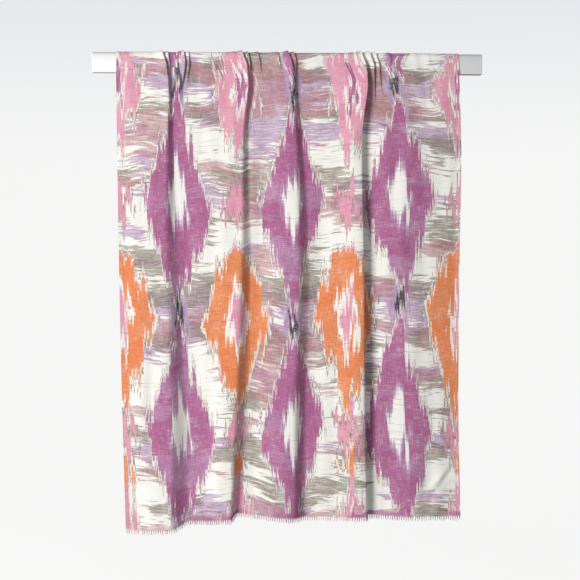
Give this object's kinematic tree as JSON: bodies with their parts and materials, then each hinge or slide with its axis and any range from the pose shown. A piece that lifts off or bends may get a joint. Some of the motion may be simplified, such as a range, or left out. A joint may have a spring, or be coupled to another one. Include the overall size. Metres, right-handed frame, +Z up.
{
  "type": "scarf on a rail",
  "caption": "Long printed scarf with frayed ends, hung in soft upright folds over a plain flat rail with a half-round top.",
  "frame": {"origin": "the middle of the rail's underside, where the rail is held", "axes": "+Z up, X along the rail, and the stretch of cloth that the picture shows faces -Y"},
  "size_m": [0.76, 0.0609, 0.9445],
  "materials": {
    "rail_paint": "painted white, satin",
    "printed_cloth": "thin plain weave printed in ivory, orchid, pink, lavender and taupe, matte",
    "fringe_yarn": "loose frayed yarn ends, matte"
  },
  "bodies": {
    "root": {"rail": "rail_paint", "cloth_front": "printed_cloth", "cloth_back": "printed_cloth", "fringe_front": "fringe_yarn", "fringe_back": "fringe_yarn"}
  },
  "joints": []
}
